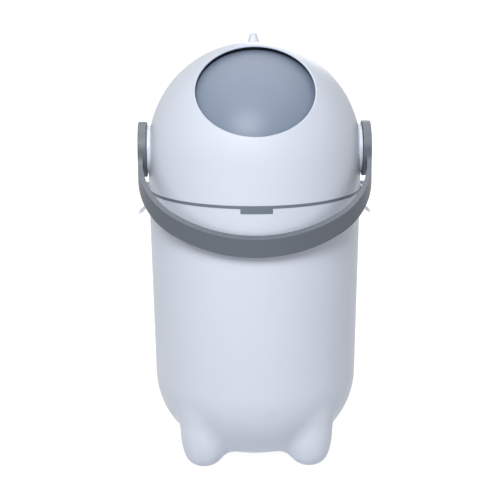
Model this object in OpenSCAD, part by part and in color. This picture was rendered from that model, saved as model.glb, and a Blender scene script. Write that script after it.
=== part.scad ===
// Waste disposal pail with a turning ball drum, a flip-over handle and a lift-off head.
// The floor is z = 0, the pail's own axis is Z, and the front with the opening faces -Y.

/* [Pail] */
// Outer radius of the pail at its rim, and of the head above it
pail_r = 125; // [118:0.5:132]
// How much smaller the pail's radius is where its rounded bottom begins
taper = 5; // [2:0.5:10]
// Height of the pail's rim above the floor
rim_z = 322.5; // [300:0.5:345]
// Radius of the rounded bottom corner
corner_r = 95; // [80:1:100]
// Height of the underside above the floor
floor_gap = 6; // [4:0.5:14]
// Wall thickness of the moulded shells
wall = 3; // [2:0.1:4]

/* [Feet] */
// Distance of each foot's axis from the pail's centre planes
foot_pos = 62.3; // [56:0.1:66]
// Radius of the round foot tip
foot_tip_r = 20; // [16:0.5:21]
// Radius of the flat that each foot stands on
foot_flat_r = 4; // [3:0.5:8]
// Radius of the foot where it runs into the bottom
foot_root_r = 27.5; // [27:0.5:30]

/* [Head] */
// Gap between the rim and the head, where the bag ring shows
seam_gap = 3.6; // [2.8:0.1:5]
// Height of the drum's axis and of the dome's centre
pivot_z = 370; // [364:0.5:380]
// Angle of the opening's axis above the horizontal
opening_angle = 49; // [44:1:54]
// Radius of the opening in the dome
opening_r = 68; // [60:0.5:72]
// Angle of the horn's axis, past the top of the dome when over 90
horn_angle = 108; // [102:1:125]
// Height of the horn above the dome
horn_h = 14; // [8:0.5:18]
// Radius of the horn's round tip
horn_tip_r = 4.7; // [3.5:0.1:5.5]
// Radius of the side bosses that carry the drum
boss_r = 28; // [24:0.5:31]
// Outer radius of the bearing bushes
bush_r = 12; // [10.5:0.1:14]

/* [Drum] */
// Gap between the dome and the ball drum inside it
ball_gap = 4.5; // [4:0.1:6]
// Wall thickness of the ball and the cup
ball_wall = 2.5; // [2:0.1:3]
// Inner radius of the cup
cup_r = 60; // [50:0.5:62]
// Distance of the cup's bottom past the ball's centre
cup_past = 80; // [60:1:86]
// Radius of the handle's shafts
shaft_r = 9; // [7:0.1:10]
// Side of the square drive on each shaft
key_w = 12; // [9:0.1:12]

/* [Handle] */
// Outer radius of the round hubs
hub_r = 32.5; // [29:0.5:36]
// Thickness of the hubs
hub_t = 10; // [8:0.5:14]
// Thickness of the strap
strap_t = 5.5; // [4:0.1:7]
// Height of the strap
strap_w = 20.6; // [16:0.1:26]
// Angle of the resting handle below the horizontal
handle_angle = 34; // [32:0.5:36]
// Gap between the pail's rim and the front of the strap
strap_gap = 4; // [3:0.1:8]

/* [Latches] */
// Width of each side latch
latch_w = 20; // [16:0.5:26]
// Thickness of the latch plate
latch_t = 2.2; // [1.8:0.1:2.6]
// Height of the latch pins above the floor
latch_z = 320; // [317:0.5:321]
// Radius of the latch pins
latch_pin_r = 1.5; // [1.2:0.1:1.8]
// Radius of the curled finger lip
lip_r = 9; // [7:0.5:10]

/* [Bag ring] */
// Distance of the bag ring's inner edge from the outside of the rim
ring_in = 9; // [8:0.1:10]
// Depth of the ring's skirt below the rim
skirt_h = 20; // [10:0.5:24]
// Width of the front notch in the rim
notch_w = 36.5; // [28:0.5:44]
// Depth of the front notch
notch_h = 5.8; // [4:0.1:9]

/* [Hidden] */
$fn = 96;
clear = 0.5;        // clearance between parts that turn past each other
slip = 0.05;        // radial clearance of a shaft in its bore
seat = 0.2;         // clearance of fixed parts that slide together
pail_low_r = pail_r - taper;
head_z = rim_z + seam_gap;
corner_z = floor_gap + corner_r;
corner_x = pail_low_r - corner_r;
boss_face = pail_r + 0.8;
hub_in = boss_face + clear;
hub_out = hub_in + hub_t;
strap_front = pail_r + strap_gap + strap_t;
ring_r = pail_r - ring_in;
ball_r = pail_r - wall - ball_gap;
ball_flat = ball_r - 4.5;    // half width of the drum between its flat ends
boss_in = ball_flat + 1;
socket_r = 14;
socket_in = ball_flat - 19;
screw_r = 1.8;
screw_head_r = 2.9;
drum_screw_r = 5;
cradle_z = head_z + 2.3;
cradle_h = 6;
cradle_pitch_r = pail_r - 6.4;
pin_x = pail_r + 3.8;
catch_out = 0.6;

// Turns what stands along Z so that it points at an angle above the horizontal, in front
module aim(angle) {
    translate([0, 0, pivot_z]) rotate([90 - angle, 0, 0]) children();
}

// Lays a shape that stands along Z along +X or -X, from the drum's axis
module along_x(side) {
    translate([0, 0, pivot_z]) rotate([0, side * 90, 0]) children();
}

module both_sides() {
    for (side = [-1, 1]) along_x(side) children();
}

module half_plane(size = 400) {
    translate([0, -size]) square([size, 2 * size]);
}

// Outline of the pail in section, drawn in by d
module pail_section(d, top) {
    intersection() {
        half_plane();
        union() {
            polygon([[0, corner_z], [pail_low_r - d, corner_z], [pail_r - d, top], [0, top]]);
            translate([corner_x, corner_z]) circle(r = corner_r - d);
            translate([0, floor_gap + d]) square([corner_x, corner_r - d]);
        }
    }
}

// Outline of one foot in section, drawn in by d
module foot_section(d) {
    full_r = foot_flat_r + foot_tip_r;
    intersection() {
        half_plane();
        union() {
            translate([foot_flat_r, foot_tip_r]) circle(r = foot_tip_r - d);
            translate([0, d]) square([foot_flat_r, foot_tip_r]);
            polygon([[0, foot_tip_r], [full_r - d, foot_tip_r], [(full_r + foot_root_r) / 2 + 1 - d, foot_tip_r + 12],
                     [foot_root_r - d, foot_tip_r + 30], [foot_root_r - d, 66], [0, 66]]);
        }
    }
}

module feet(d) {
    for (x = [-1, 1], y = [-1, 1])
        translate([x * foot_pos, y * foot_pos, 0]) rotate_extrude() foot_section(d);
}

// Low side bead above the latch's nib
module catch(side) {
    translate([side > 0 ? pail_r - wall : -pail_r - catch_out, -latch_w * 0.3, latch_z - 14])
        cube([wall + catch_out, latch_w * 0.6, 3]);
}

module pail_body() {
    color("aliceblue") difference() {
        union() {
            difference() {
                union() {
                    rotate_extrude($fn = 180) pail_section(0, rim_z);
                    feet(0);
                }
                rotate_extrude($fn = 180) pail_section(wall, rim_z + 1);
                feet(wall);
            }
            for (side = [-1, 1]) catch(side);
        }
        translate([-notch_w / 2, -pail_r - 5, rim_z - notch_h]) cube([notch_w, 12, notch_h + 1]);
    }
}

// Ring that clamps the bag on the rim, with the tab that fills the front notch
module bag_ring() {
    skirt_r = pail_r - wall - 1;
    color("slategray") {
        rotate_extrude($fn = 180) union() {
            translate([ring_r, rim_z + seat]) square([pail_r - 0.4 - ring_r, seam_gap - 2 * seat]);
            translate([ring_r, rim_z - skirt_h]) square([2, skirt_h + seat]);
            translate([skirt_r - 1.5, rim_z - 6]) square([1.5, 6 + seat]);
        }
        intersection() {
            rotate_extrude($fn = 180)
                translate([skirt_r - 1.5, rim_z - notch_h + seat])
                    square([pail_r - skirt_r + 1.3, notch_h + seam_gap - 2 * seat]);
            translate([-notch_w / 2 + seat, -pail_r - 5, rim_z - notch_h])
                cube([notch_w - 2 * seat, 20, notch_h + seam_gap]);
        }
    }
}

// Outline of the head in section, drawn in by d
module head_section(d) {
    intersection() {
        translate([0, head_z - (d > 0 ? 1 : 0)]) square([pail_r, pivot_z - head_z + pail_r + 1]);
        union() {
            translate([0, pivot_z]) circle(r = pail_r - d);
            translate([0, head_z - 1]) square([pail_r - d, pivot_z - head_z + 1]);
        }
    }
}

// Horn in section, flared where it leaves the dome, whose surface lies at pail_r
module horn_section() {
    root_r = horn_tip_r + 3;
    flare = 1.5;
    base = sqrt(pow(pail_r, 2) - pow(root_r + flare, 2));
    top = pail_r + horn_h - horn_tip_r;
    difference() {
        union() {
            difference() {
                translate([0, base - 1.5]) square([root_r + flare, flare + 1.5]);
                translate([root_r + flare, base + flare]) circle(r = flare, $fn = 48);
            }
            polygon([[0, base], [root_r, base + flare - 0.1], [horn_tip_r, top], [0, top]]);
            translate([0, top]) intersection() {
                circle(r = horn_tip_r, $fn = 48);
                square(horn_tip_r);
            }
        }
        circle(r = pail_r - wall);
    }
}

// Rounded edge of the opening in the dome
module opening_lip() {
    lip = wall / 2;
    aim(opening_angle) rotate_extrude($fn = 180)
        translate([opening_r + lip, sqrt(pow(pail_r - lip, 2) - pow(opening_r + lip, 2))])
            circle(r = lip, $fn = 48);
}

// Pair of ears that hold a latch pin outside the pail's wall
module latch_ears(side) {
    for (y = [-1, 1]) translate([0, y * (latch_w / 2 + 2) + 1.5, 0]) mirror([side < 0 ? 1 : 0, 0, 0]) {
        translate([pin_x, 0, latch_z]) rotate([90, 0, 0]) cylinder(r = 3, h = 3);
        translate([pail_r + 0.4, -3, latch_z]) cube([pin_x + 2.6 - pail_r, 3, head_z + 2 - latch_z]);
        translate([pail_r - wall + 0.5, -3, head_z + 0.3]) cube([6, 3, 2.2]);
    }
}

module latch_bore(side, r) {
    translate([side * pin_x, latch_w, latch_z]) rotate([90, 0, 0]) cylinder(r = r, h = 2 * latch_w);
}

// Places its children at each of the cradle's screws
module at_cradle_screws() {
    for (a = [30 : 60 : 330]) rotate([0, 0, a]) translate([cradle_pitch_r, 0, 0]) children();
}

module head_shell() {
    color("aliceblue") difference() {
        union() {
            difference() {
                union() {
                    rotate_extrude($fn = 180) head_section(0);
                    aim(horn_angle) rotate_extrude() horn_section();
                    both_sides() translate([0, 0, boss_in]) cylinder(r = boss_r, h = boss_face - boss_in);
                }
                difference() {
                    rotate_extrude($fn = 180) head_section(wall);
                    both_sides() translate([0, 0, boss_in]) cylinder(r = boss_r, h = 20);
                    at_cradle_screws()
                        translate([0, 0, cradle_z + cradle_h]) cylinder(r = 4, h = 7, $fn = 32);
                }
                aim(opening_angle) cylinder(r = opening_r + wall / 2, h = 2 * pail_r, $fn = 180);
            }
            opening_lip();
            for (side = [-1, 1]) latch_ears(side);
        }
        both_sides() translate([0, 0, boss_in - 1]) cylinder(r = bush_r, h = 20);
        for (side = [-1, 1]) latch_bore(side, latch_pin_r);
        at_cradle_screws() translate([0, 0, cradle_z]) cylinder(r = screw_r, h = cradle_h + 6, $fn = 24);
    }
}

module bush(side) {
    color("whitesmoke") along_x(side) translate([0, 0, boss_in]) difference() {
        cylinder(r = bush_r, h = boss_face - boss_in);
        translate([0, 0, -1]) cylinder(r = shaft_r + slip, h = boss_face - boss_in + 2);
    }
}

// Rubber lip between the ball and the dome, round the opening
module wiper_seal() {
    color("dimgray") aim(opening_angle) difference() {
        intersection() {
            sphere(r = pail_r - wall - 0.1);
            cylinder(r = opening_r + 7, h = pail_r);
        }
        sphere(r = ball_r + clear);
        cylinder(r = opening_r + 2.5, h = pail_r);
    }
}

// Ring screwed into the foot of the head, which closes the gap round the ball
module drum_cradle() {
    inner_r = sqrt(pow(ball_r, 2) - pow(pivot_z - cradle_z - cradle_h, 2)) + 1;
    color("gainsboro") difference() {
        translate([0, 0, cradle_z]) difference() {
            cylinder(r = pail_r - wall - seat, h = cradle_h, $fn = 180);
            translate([0, 0, -1]) cylinder(r = inner_r, h = cradle_h + 2, $fn = 180);
        }
        at_cradle_screws() translate([0, 0, cradle_z - 1])
            cylinder(r = screw_r + 0.2, h = cradle_h + 2, $fn = 24);
        at_cradle_screws() translate([0, 0, cradle_z - 1]) cylinder(r = screw_head_r + 0.2, h = 3, $fn = 24);
    }
}

// Thin rubber lip under the cradle, close to the ball
module cradle_seal() {
    inner_r = sqrt(pow(ball_r, 2) - pow(pivot_z - cradle_z, 2)) + clear;
    color("dimgray") translate([0, 0, cradle_z - 1.2]) difference() {
        cylinder(r = cradle_pitch_r - 3.8, h = 1.2, $fn = 180);
        translate([0, 0, -1]) cylinder(r = inner_r, h = 4, $fn = 180);
    }
}

module cradle_screws() {
    color("silver") at_cradle_screws() {
        translate([0, 0, cradle_z + 0.1]) cylinder(r = screw_head_r, h = 1.9, $fn = 24);
        translate([0, 0, cradle_z + 1]) cylinder(r = screw_r, h = cradle_h + 4, $fn = 24);
    }
}

module latch_pin(side) {
    color("silver") translate([side * pin_x, latch_w / 2 + 3.4, latch_z]) rotate([90, 0, 0])
        cylinder(r = latch_pin_r, h = latch_w + 6.8);
}

// Ball with flat ends, drawn in by d
module ball(d) {
    intersection() {
        sphere(r = ball_r - d, $fn = 180);
        cube([2 * (ball_flat - d), 2 * ball_r, 2 * ball_r], center = true);
    }
}

// Half of the ball's shell, on the side that the opening angle points to, or the far side
module ball_half(near) {
    difference() {
        ball(0);
        ball(ball_wall);
        translate([0, 0, near ? -ball_r : ball_r]) cube(2 * ball_r, center = true);
    }
}

// Places its children at the four bosses that screw the two halves together
module at_drum_screws() {
    out = ball_r - drum_screw_r - 1.212085;
    for (x = [-1, 1], y = [-1, 1]) translate([x * out * cos(49.007805), y * out * sin(49.007805), 0]) children();
}

module drum_dome() {
    color("lightslategray") aim(opening_angle) difference() {
        union() {
            ball_half(true);
            at_drum_screws() cylinder(r = drum_screw_r, h = 12, $fn = 32);
        }
        for (side = [-1, 1]) rotate([0, side * 90, 0])
            translate([0, 0, socket_in - 1]) cylinder(r = socket_r + seat, h = 20);
        at_drum_screws() translate([0, 0, -1]) cylinder(r = screw_r, h = 11, $fn = 24);
    }
}

// Section of the cup's hollow along its own axis, bottom up, or of its outside when d is the wall
module cup_section(d) {
    round_r = 16;
    round_z = cup_past - ball_wall - round_r;
    low = -ball_r;
    intersection() {
        half_plane();
        union() {
            translate([0, low]) square([cup_r + d, round_z - low]);
            translate([0, low]) square([cup_r - round_r, cup_past - ball_wall + d - low]);
            translate([cup_r - round_r, round_z]) circle(r = round_r + d, $fn = 48);
        }
    }
}

// Half of the ball with the hole for the cup, and the sockets for the two axles
module drum_back() {
    color("lightslategray") aim(opening_angle) difference() {
        union() {
            ball_half(false);
            for (side = [-1, 1]) rotate([0, side * 90, 0])
                translate([0, 0, socket_in]) cylinder(r = socket_r, h = ball_flat - socket_in);
            at_drum_screws() translate([0, 0, -12]) cylinder(r = drum_screw_r, h = 12, $fn = 32);
        }
        translate([0, 0, -2 * ball_r]) cylinder(r = cup_r + ball_wall + seat, h = 1.5 * ball_r);
        for (side = [-1, 1]) rotate([0, side * 90, 0]) translate([0, 0, socket_in + 3])
            linear_extrude(20) square(key_w + 2 * seat, center = true);
        at_drum_screws() translate([0, 0, -13]) cylinder(r = screw_r + 0.3, h = 14, $fn = 24);
        at_drum_screws() translate([0, 0, -13]) cylinder(r = screw_head_r + 0.3, h = 3, $fn = 24);
    }
}

// Cup for the litter, with a curved flange that rests on the inside of the ball
module cup() {
    flange = 8;
    color("lightslategray") aim(opening_angle) difference() {
        union() {
            intersection() {
                sphere(r = ball_r, $fn = 180);
                rotate_extrude() cup_section(ball_wall);
            }
            difference() {
                intersection() {
                    sphere(r = ball_r - ball_wall - 0.1, $fn = 180);
                    translate([0, 0, -ball_r]) cylinder(r = cup_r + ball_wall + flange, h = ball_r / 2);
                }
                sphere(r = ball_r - 2 * ball_wall - 0.1, $fn = 180);
            }
        }
        rotate_extrude() cup_section(0);
    }
}

module drum_screws() {
    color("silver") aim(opening_angle) at_drum_screws() {
        translate([0, 0, -12]) cylinder(r = screw_head_r, h = 1.9, $fn = 24);
        translate([0, 0, -11]) cylinder(r = screw_r, h = 20, $fn = 24);
    }
}

// Plan of the handle's strap from above, drawn in by d: straight arms, tight sides, wide front
module strap_plan(d) {
    side_r = 95;
    front_r = 165;
    arm = 26.2;
    side_x = hub_out - side_r;
    front_y = front_r - strap_front;
    reach = 3;
    polygon([[-hub_out + d, 0], [hub_out - d, 0], [hub_out - d, -arm], [-hub_out + d, -arm]]);
    for (x = [-1, 1]) translate([x * side_x, -arm]) circle(r = side_r - d, $fn = 180);
    intersection() {
        translate([0, front_y]) circle(r = front_r - d, $fn = 180);
        polygon([[0, front_y], [side_x * reach, front_y - (front_y + arm) * reach],
                 [0, -2 * front_r], [-side_x * reach, front_y - (front_y + arm) * reach]]);
    }
}

// Strap between two parallel planes that slope down to the front from the drum's axis
module strap() {
    thick = strap_w * cos(handle_angle);
    intersection() {
        translate([0, 0, pivot_z - strap_front]) linear_extrude(strap_front + hub_r) difference() {
            strap_plan(0);
            strap_plan(strap_t);
        }
        union() {
            translate([0, 0, pivot_z]) rotate([handle_angle, 0, 0])
                translate([-200, -260, -thick / 2]) cube([400, 260, thick]);
            translate([-200, 0, pivot_z]) rotate([90, 0, 90]) linear_extrude(400) strap_root();
        }
    }
}

// Side view of the curve that leads from the front of a hub down to the strap's upper edge
module strap_root() {
    root_r = 22.4;
    difference() {
        polygon([[2.5 - hub_r, 0], [-hub_r - root_r, 0], [-hub_r - 10.5, -19.5], [2.5 - hub_r, -12]]);
        translate([-hub_r - root_r, 0]) circle(r = root_r);
    }
}

module hub_section() {
    edge = 0.8;
    polygon([[0, hub_in], [hub_r - 0.6, hub_in], [hub_r, hub_in + 0.6], [hub_r, hub_out - edge],
             [hub_r - edge, hub_out], [0, hub_out]]);
}

module handle() {
    color("slategray") difference() {
        union() {
            strap();
            both_sides() rotate_extrude() hub_section();
        }
        both_sides() {
            translate([0, 0, hub_in - 1]) linear_extrude(hub_t - 3) square(key_w + 2 * seat, center = true);
            cylinder(r = screw_r + 0.3, h = hub_out + 1, $fn = 24);
            translate([0, 0, hub_out - 2.5]) cylinder(r = screw_head_r + 1, h = 4, $fn = 24);
        }
    }
}

// Axle with a square end for the drum, a round middle for the bush and a square end for the hub
module axle(side) {
    color("slategray") along_x(side) difference() {
        union() {
            rotate([0, 0, -side * opening_angle]) translate([0, 0, socket_in + 3.2])
                linear_extrude(ball_flat - socket_in - 3) square(key_w, center = true);
            translate([0, 0, ball_flat]) cylinder(r = shaft_r, h = hub_in - ball_flat - 0.1);
            translate([0, 0, hub_in - 1]) linear_extrude(hub_t - 3.3) square(key_w, center = true);
        }
        translate([0, 0, hub_in - 6]) cylinder(r = screw_r, h = 20, $fn = 24);
    }
}

module hub_screws() {
    color("silver") both_sides() {
        translate([0, 0, hub_out - 2.4]) cylinder(r = screw_head_r + 0.6, h = 1.9, $fn = 24);
        translate([0, 0, hub_in - 5]) cylinder(r = screw_r, h = hub_t + 3.2, $fn = 24);
    }
}

// Side view of a latch in the plane of X and Z, for the right side
module latch_profile() {
    plate_x = pin_x + 0.7;
    lip_z = latch_z - 15;
    difference() {
        union() {
            translate([pin_x, latch_z]) circle(r = 3, $fn = 48);
            translate([plate_x - latch_t / 2, lip_z]) square([latch_t, latch_z - lip_z]);
            translate([pail_r + catch_out + 0.3, lip_z - 2.6]) square([plate_x - pail_r - catch_out, 2.8]);
            intersection() {
                translate([plate_x + latch_t / 2 + lip_r, lip_z]) difference() {
                    circle(r = lip_r + latch_t, $fn = 96);
                    circle(r = lip_r, $fn = 96);
                }
                translate([plate_x - latch_t, lip_z - lip_r - latch_t - 1])
                    square([lip_r + 0.8, lip_r + latch_t + 1]);
            }
        }
        translate([pin_x, latch_z]) circle(r = latch_pin_r + slip, $fn = 48);
    }
}

module latch(side) {
    color("aliceblue") mirror([side < 0 ? 1 : 0, 0, 0])
        translate([0, latch_w / 2, 0]) rotate([90, 0, 0]) linear_extrude(latch_w) latch_profile();
}

pail_body();
bag_ring();
head_shell();
bush(-1);  // bush_left
bush(1);  // bush_right
wiper_seal();
drum_cradle();
cradle_seal();
cradle_screws();
latch_pin(-1);  // latch_pin_left
latch_pin(1);  // latch_pin_right
drum_dome();
drum_back();
cup();
drum_screws();
axle(-1);  // axle_left
axle(1);  // axle_right
handle();
hub_screws();
latch(-1);  // latch_left
latch(1);  // latch_right
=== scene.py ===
# Looks for a litter disposal pail: white moulded plastic, a grey ball drum and a grey handle.
import math

import bmesh
import bpy
import numpy as np
from mathutils import Matrix, Vector


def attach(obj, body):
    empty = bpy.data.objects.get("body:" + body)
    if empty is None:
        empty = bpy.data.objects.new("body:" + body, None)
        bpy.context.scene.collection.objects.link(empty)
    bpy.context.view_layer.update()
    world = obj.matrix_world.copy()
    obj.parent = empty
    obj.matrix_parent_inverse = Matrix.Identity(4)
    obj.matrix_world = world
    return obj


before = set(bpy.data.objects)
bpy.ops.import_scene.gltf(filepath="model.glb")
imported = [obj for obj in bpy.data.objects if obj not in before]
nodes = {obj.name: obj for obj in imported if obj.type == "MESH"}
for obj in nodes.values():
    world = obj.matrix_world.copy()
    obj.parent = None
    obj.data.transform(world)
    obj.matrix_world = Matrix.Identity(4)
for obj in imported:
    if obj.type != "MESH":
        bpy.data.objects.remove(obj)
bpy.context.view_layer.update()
scene = bpy.context.scene
scene.view_settings.view_transform = "Standard"
print("frame loaded")


# A named object at the origin, linked into the scene.
def addObject(name, data):
    made = bpy.data.objects.new(name, data)
    scene.collection.objects.link(made)
    return made


# Camera on a circle round the Z axis. It looks down by the angle drop at a point on that axis, from
# the point less the distance along the line of sight, and roll turns it about that line.
def cameraAt(distance, turn, drop, roll, height, sensor, lens, shift, clip):
    level = math.cos(drop)
    ahead = Vector((level * math.sin(turn), level * math.cos(turn), -math.sin(drop)))
    right = ahead.cross(Vector((0.0, 0.0, 1.0))).normalized()
    up = right.cross(ahead).normalized()
    tilted = math.cos(roll) * right - math.sin(roll) * up
    upright = math.sin(roll) * right + math.cos(roll) * up
    turned = Matrix((tilted, upright, -ahead)).transposed().to_4x4()
    turned.translation = Vector((0.0, 0.0, height)) - distance * ahead
    data = bpy.data.cameras.new("view")
    data.sensor_width = sensor
    data.lens = lens
    data.shift_x, data.shift_y = shift
    data.clip_start, data.clip_end = clip
    camera = addObject("view", data)
    camera.matrix_world = turned
    scene.camera = camera


sensorWidth = 36.0  # mm
pictureWidth = 500.0  # pixels
focalPixels = 1669.65  # focal length, in pixels of that picture
view = {
    "distance": 2.0,  # metres, as height and clip are
    "turn": math.radians(1.057),
    "drop": math.radians(13.226),
    "roll": math.radians(0.232),
    "height": 0.240,
    "sensor": sensorWidth,
    "lens": focalPixels * sensorWidth / pictureWidth,
    "shift": (-0.00966, 0.01161),
    "clip": (0.1, 30.0),
}
cameraAt(**view)
print("camera set")


# Joins sockets in pairs, each an output and the input that it feeds.
def joinSockets(tree, *pairs):
    for output, target in pairs:
        tree.links.new(output, target)


grainLook = {
    "cloudScale": 9.0, "cloudDetail": 3.0,
    "dark": 0.97, "light": 1.02,  # the cloud's shades of the colour
    "spread": 0.04,  # what the cloud adds to the roughness and takes from it
    "fineScale": 1400.0, "fineDetail": 2.0,
    "lift": 0.0002,  # height of the grain in metres, before its strength
}


# Plastic, rubber or steel: a faint cloud shades the colour and the roughness, and a fine grain
# makes the bump. Both are noise on the piece's own coordinates.
def pailFinish(name, colour, roughness, grain, specular=0.5, metallic=0.0):
    material = bpy.data.materials.new(name)
    material.use_nodes = True
    tree = material.node_tree
    shader = tree.nodes["Principled BSDF"]
    shader.inputs["Specular IOR Level"].default_value = specular
    shader.inputs["Metallic"].default_value = metallic
    place = tree.nodes.new("ShaderNodeTexCoord")
    cloud = tree.nodes.new("ShaderNodeTexNoise")
    cloud.inputs["Scale"].default_value = grainLook["cloudScale"]
    cloud.inputs["Detail"].default_value = grainLook["cloudDetail"]
    tint = tree.nodes.new("ShaderNodeMix")
    tint.data_type = "RGBA"
    dark, light = grainLook["dark"], grainLook["light"]
    tint.inputs[6].default_value = (*[c * dark for c in colour], 1.0)
    tint.inputs[7].default_value = (*[min(1.0, c * light) for c in colour], 1.0)
    fine = tree.nodes.new("ShaderNodeTexNoise")
    fine.inputs["Scale"].default_value = grainLook["fineScale"]
    fine.inputs["Detail"].default_value = grainLook["fineDetail"]
    rough = tree.nodes.new("ShaderNodeMapRange")
    rough.inputs["To Min"].default_value = roughness - grainLook["spread"]
    rough.inputs["To Max"].default_value = roughness + grainLook["spread"]
    bump = tree.nodes.new("ShaderNodeBump")
    bump.inputs["Strength"].default_value = grain
    bump.inputs["Distance"].default_value = grainLook["lift"]
    joinSockets(
        tree,
        (place.outputs["Object"], cloud.inputs["Vector"]),
        (place.outputs["Object"], fine.inputs["Vector"]),
        (cloud.outputs["Fac"], tint.inputs[0]),
        (tint.outputs[2], shader.inputs["Base Color"]),
        (cloud.outputs["Fac"], rough.inputs["Value"]),
        (rough.outputs["Result"], shader.inputs["Roughness"]),
        (fine.outputs["Fac"], bump.inputs["Height"]),
        (bump.outputs["Normal"], shader.inputs["Normal"]),
    )
    return material


finishes = {
    "whitePlastic": {"colour": (0.80, 0.85, 0.95), "roughness": 0.38, "grain": 0.05},
    "palePlastic": {"colour": (0.66, 0.68, 0.70), "roughness": 0.5, "grain": 0.1},
    "greyPlastic": {
        "colour": (0.105, 0.122, 0.148), "roughness": 0.45, "grain": 0.25, "specular": 0.6,
    },
    "ballPlastic": {
        "colour": (0.255, 0.31, 0.405), "roughness": 0.36, "grain": 0.05, "specular": 0.35,
    },
    "ringPlastic": {"colour": (0.165, 0.20, 0.25), "roughness": 0.5, "grain": 0.1},
    "rubber": {"colour": (0.02, 0.022, 0.026), "roughness": 0.7, "grain": 0.2, "specular": 0.3},
    "steel": {"colour": (0.55, 0.56, 0.58), "roughness": 0.3, "grain": 0.05, "metallic": 1.0},
}
materials = {name: pailFinish(name, **finish) for name, finish in finishes.items()}

piecesIn = {
    "whitePlastic": ("pail_body", "head_shell", "latch_left", "latch_right"),
    "palePlastic": ("bush_left", "bush_right", "drum_cradle"),
    "greyPlastic": ("axle_left", "axle_right", "handle"),
    "ballPlastic": ("drum_dome", "drum_back", "cup"),
    "ringPlastic": ("bag_ring",),
    "rubber": ("wiper_seal", "cradle_seal"),
    "steel": ("cradle_screws", "drum_screws", "hub_screws", "latch_pin_left", "latch_pin_right"),
}
for finish, pieces in piecesIn.items():
    for name in pieces:
        coats = nodes[name].data.materials
        coats.clear()
        coats.append(materials[finish])
print("finishes set")


# A closed ring from a grid of points: rows go round its section and columns round the ring, and
# each point is joined to the next in its row and in its column, the last to the first.
def ringMesh(name, points, sharp):
    rows, columns = points.shape[:2]
    here = np.arange(rows * columns).reshape(rows, columns)
    after = np.roll(here, -1, axis=0)
    corners = [here, np.roll(here, -1, axis=1), np.roll(after, -1, axis=1), after]
    faces = np.stack(corners, axis=-1).reshape(-1, 4)
    mesh = bpy.data.meshes.new(name)
    mesh.from_pydata(points.reshape(-1, 3).tolist(), [], faces.tolist())
    mesh.update()
    shell = bmesh.new()
    shell.from_mesh(mesh)
    bmesh.ops.recalc_face_normals(shell, faces=shell.faces)
    shell.to_mesh(mesh)
    shell.free()
    mesh.shade_smooth()
    mesh.set_sharp_from_angle(angle=sharp)
    return addObject(name, mesh)


# Each foot has a thin skin that runs softly into the belly. Seen from a point inside the foot, the
# skin is the surface where the smooth minimum of two distances is zero: that to the foot, a round
# tip below a spline, and that to the belly, the torus (R - 25)^2 + (z - 101)^2 = 95^2 and the wall
# above it, in millimetres, with R from the pail's axis. Its back lies inside the pail's own wall.
def footSkin(name, side, front, shape):
    turns = np.linspace(0.0, 2.0 * np.pi, shape["turns"], endpoint=False)
    ux, uy = np.cos(turns), np.sin(turns)
    fx, fy = side * shape["place"], front * shape["place"]
    tip, flat = shape["tip"], shape["flat"]
    low, high = shape["low"], shape["high"]
    lowR = flat + math.sqrt(tip ** 2 - (tip - low) ** 2)
    lowSlope = (tip - low) / (lowR - flat)

    # The cubic in z that leaves the tip along its slope and ends upright at the root's radius.
    def footSide(z):
        t = np.clip((z - low) / (high - low), 0.0, 1.0)
        start = (2 * t ** 3 - 3 * t ** 2 + 1) * lowR
        slope = (t ** 3 - 2 * t ** 2 + t) * (high - low) * lowSlope
        return start + slope + (3 * t ** 2 - 2 * t ** 3) * shape["rootR"]

    # Distance from the pail's axis, at rho from the foot's own.
    def fromAxis(rho):
        return np.hypot(fx + rho * ux, fy + rho * uy)

    def toFoot(rho, z):
        sole = np.hypot(np.maximum(rho - flat, 0.0), z - tip) - tip
        crown = np.hypot(rho, np.maximum(z - shape["crown"], 0.0)) - footSide(z)
        return np.where(z < low, sole, crown * shape["lean"])

    def toBelly(rho, z):
        out, above = fromAxis(rho) - shape["cornerX"], z - shape["cornerZ"]
        bowl = np.hypot(np.maximum(out, 0.0), above)
        wall = out - shape["taper"] * above
        return np.where(z < shape["cornerZ"], bowl, wall) - shape["corner"]

    # The blend gets narrower towards the pail's outside.
    def softness(rho, soft):
        outer = np.clip((fromAxis(rho) - shape["firmFrom"]) / shape["firmOver"], 0.0, 1.0)
        return soft * (1.0 - shape["firm"] * outer)

    # Smooth minimum: the two distances mixed by share, less the softness times share (1 - share).
    def blended(rho, z, soft):
        foot, belly = toFoot(rho, z), toBelly(rho, z)
        soft = softness(rho, soft)
        share = np.clip(0.5 + 0.5 * (belly - foot) / soft, 0.0, 1.0)
        return belly * (1 - share) + foot * share - soft * share * (1 - share)

    # Where the rays at these angles reach the surface, by halving the part of each that crosses it.
    def surface(angles, soft, lift):
        near, far = np.zeros_like(angles), np.full_like(angles, shape["reach"])
        for _ in range(shape["halvings"]):
            mid = 0.5 * (near + far)
            rho, z = mid * np.sin(angles), shape["eye"] - mid * np.cos(angles)
            within = blended(rho, z, soft) < lift
            near, far = np.where(within, mid, near), np.where(within, far, mid)
        return near * np.sin(angles), shape["eye"] - near * np.cos(angles)

    # Each ray round the foot sweeps up until the foot is farther off than the blend is wide.
    scan = np.linspace(shape["first"], shape["last"], shape["scans"])[:, None] * np.ones_like(ux)
    rho, z = surface(scan, shape["soft"], 0.0)
    stop = scan[np.argmax(toFoot(rho, z) > softness(rho, shape["soft"]), axis=0), 0]
    share = np.linspace(0.0, 1.0, shape["steps"])[:, None]
    angles = shape["first"] + share * (stop - shape["first"])
    outR, outZ = surface(angles, shape["soft"], shape["proud"])
    backR, backZ = surface(angles[::-1], shape["backSoft"], -shape["depth"])
    allR, allZ = np.vstack([outR, backR]), np.vstack([outZ, backZ])
    points = np.stack([fx + allR * ux, fy + allR * uy, allZ], axis=-1) / shape["unit"]
    return ringMesh(name, points, shape["sharp"])


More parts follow.
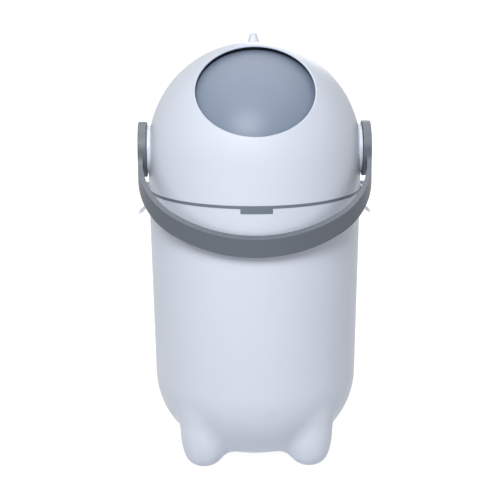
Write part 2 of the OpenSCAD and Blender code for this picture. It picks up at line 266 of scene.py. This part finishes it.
footShape = {
    "unit": 1000.0,  # millimetres to the metre: the lengths below are in millimetres
    "place": 62.3,  # X and Y of the foot's middle
    "tip": 20.0, "flat": 4.0,  # radius of the round tip, and of the flat under it
    "low": 13.0, "high": 46.0,  # heights between which the side curves
    "rootR": 27.8, "lean": 0.97,  # radius at the root, and the cosine of the side's slant
    "crown": 62.0,  # height above which the foot is domed, inside the belly
    "cornerX": 25.0, "cornerZ": 101.0, "corner": 95.0, "taper": 0.0226,  # the belly and the wall
    "soft": 20.0, "firm": 0.55, "firmFrom": 60.0, "firmOver": 50.0,  # width of the blend
    "proud": 0.06, "depth": 1.3, "backSoft": 0.5,  # the skin's front and back
    "eye": 34.0, "reach": 150.0, "halvings": 34,  # the point that the rays leave, and their search
    "first": math.radians(20.0), "last": math.radians(170.0), "scans": 500,  # from straight down
    "turns": 144, "steps": 60,  # points round the foot, and up its side
    "sharp": math.radians(50.0),
}
footCorners = ((-1, -1), (1, -1), (1, 1), (-1, 1))
for number, (side, front) in enumerate(footCorners, start=1):
    skin = footSkin(f"footSkin{number}", side, front, footShape)
    skin.data.materials.append(materials["whitePlastic"])
    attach(skin, "pail")
print("feet blended")


# A rectangular lamp at place, which faces aim.
def lamp(name, place, aim, size, watts, colour):
    data = bpy.data.lights.new(name, "AREA")
    data.shape = "RECTANGLE"
    data.size, data.size_y = size
    data.energy = watts
    data.color = colour
    light = addObject(name, data)
    light.location = place
    light.rotation_euler = (Vector(aim) - Vector(place)).to_track_quat("-Z", "Y").to_euler()


keyLamp = {
    "place": (-0.4, -2.2, 1.95), "aim": (0.0, 0.0, 0.3), "size": (1.3, 1.1),
    "watts": 52.0, "colour": (0.97, 0.98, 1.0),
}
backLamp = {
    "place": (0.5, 2.6, 1.3), "aim": (0.0, 0.0, 0.3), "size": (1.2, 1.0),
    "watts": 9.0, "colour": (0.97, 0.98, 1.0),
}
lamp("key", **keyLamp)
lamp("back", **backLamp)


# A light path, and a socket that is one where the ray is the camera's or a reflection's.
def seenRay(tree):
    ray = tree.nodes.new("ShaderNodeLightPath")
    seen = tree.nodes.new("ShaderNodeMath")
    seen.operation = "MAXIMUM"
    joinSockets(
        tree,
        (ray.outputs["Is Camera Ray"], seen.inputs[0]),
        (ray.outputs["Is Glossy Ray"], seen.inputs[1]),
    )
    return ray, seen.outputs[0]


# The floor glows white to the camera and in reflections, and keeps the pail's shadow.
def floorPlane(half, colour, glow):
    mesh = bpy.data.meshes.new("floor")
    corners = [(-half, -half, 0), (half, -half, 0), (half, half, 0), (-half, half, 0)]
    mesh.from_pydata(corners, [], [(0, 1, 2, 3)])
    floor = addObject("floor", mesh)
    material = bpy.data.materials.new("floorWhite")
    material.use_nodes = True
    tree = material.node_tree
    tree.nodes.clear()
    output = tree.nodes.new("ShaderNodeOutputMaterial")
    matt = tree.nodes.new("ShaderNodeBsdfDiffuse")
    matt.inputs["Color"].default_value = (*colour, 1.0)
    shine = tree.nodes.new("ShaderNodeEmission")
    both = tree.nodes.new("ShaderNodeAddShader")
    strength = tree.nodes.new("ShaderNodeMath")
    strength.operation = "MULTIPLY"
    strength.inputs[1].default_value = glow
    joinSockets(
        tree,
        (seenRay(tree)[1], strength.inputs[0]),
        (strength.outputs[0], shine.inputs["Strength"]),
        (matt.outputs[0], both.inputs[0]),
        (shine.outputs[0], both.inputs[1]),
        (both.outputs[0], output.inputs["Surface"]),
    )
    mesh.materials.append(material)


floorLook = {"half": 6.0, "colour": (0.62, 0.63, 0.65), "glow": 0.9}
floorPlane(**floorLook)


# The sky is white to the camera. Reflections also find a soft panel overhead, which rises as a
# smooth step where the ray's upward part passes from low to high.
def studioSky(fill, shown, panel, low, high):
    world = bpy.data.worlds.new("studio")
    world.use_nodes = True
    scene.world = world
    tree = world.node_tree
    ray, seen = seenRay(tree)
    level = tree.nodes.new("ShaderNodeMapRange")
    level.inputs["To Min"].default_value = fill
    level.inputs["To Max"].default_value = shown
    place = tree.nodes.new("ShaderNodeTexCoord")
    parts = tree.nodes.new("ShaderNodeSeparateXYZ")
    above = tree.nodes.new("ShaderNodeMapRange")
    above.interpolation_type = "SMOOTHSTEP"
    above.inputs["From Min"].default_value = low
    above.inputs["From Max"].default_value = high
    above.inputs["To Max"].default_value = panel
    glossy = tree.nodes.new("ShaderNodeMath")
    glossy.operation = "MULTIPLY"
    total = tree.nodes.new("ShaderNodeMath")
    sky = tree.nodes["Background"]
    sky.inputs["Color"].default_value = (1.0, 1.0, 1.0, 1.0)
    joinSockets(
        tree,
        (seen, level.inputs["Value"]),
        (place.outputs["Generated"], parts.inputs[0]),
        (parts.outputs["Z"], above.inputs["Value"]),
        (above.outputs["Result"], glossy.inputs[0]),
        (ray.outputs["Is Glossy Ray"], glossy.inputs[1]),
        (level.outputs["Result"], total.inputs[0]),
        (glossy.outputs[0], total.inputs[1]),
        (total.outputs[0], sky.inputs["Strength"]),
    )


skyLook = {
    "fill": 0.25,  # what the sky lights the pail with
    "shown": 1.0,  # what the camera and reflections see
    "panel": 3.0, "low": 0.6, "high": 0.95,
}
studioSky(**skyLook)
print("light set")
